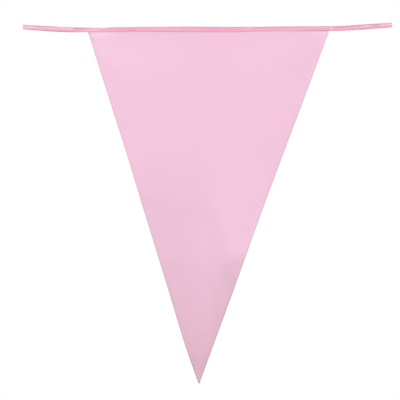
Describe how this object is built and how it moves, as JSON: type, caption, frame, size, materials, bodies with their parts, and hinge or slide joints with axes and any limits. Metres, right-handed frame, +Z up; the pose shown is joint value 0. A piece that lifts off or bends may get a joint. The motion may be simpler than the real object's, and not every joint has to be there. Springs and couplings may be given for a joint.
{
  "type": "bunting",
  "caption": "Long triangular film pennant hanging point down from a strip folded over its top edge, which runs on past both corners.",
  "frame": {"origin": "on the top edge of the header tape, above the middle of the pennant", "axes": "+X along the tape to the right as seen from the front, +Y away from the front, +Z up"},
  "size_m": [0.46, 0.0335, 0.4538],
  "materials": {
    "pennant_film": "thin translucent film, satin, pale pink",
    "tape_film": "folded film in two layers, deeper pink with streaky glints"
  },
  "bodies": {
    "root": {"pennant": "pennant_film", "header_tape": "tape_film"}
  },
  "joints": []
}
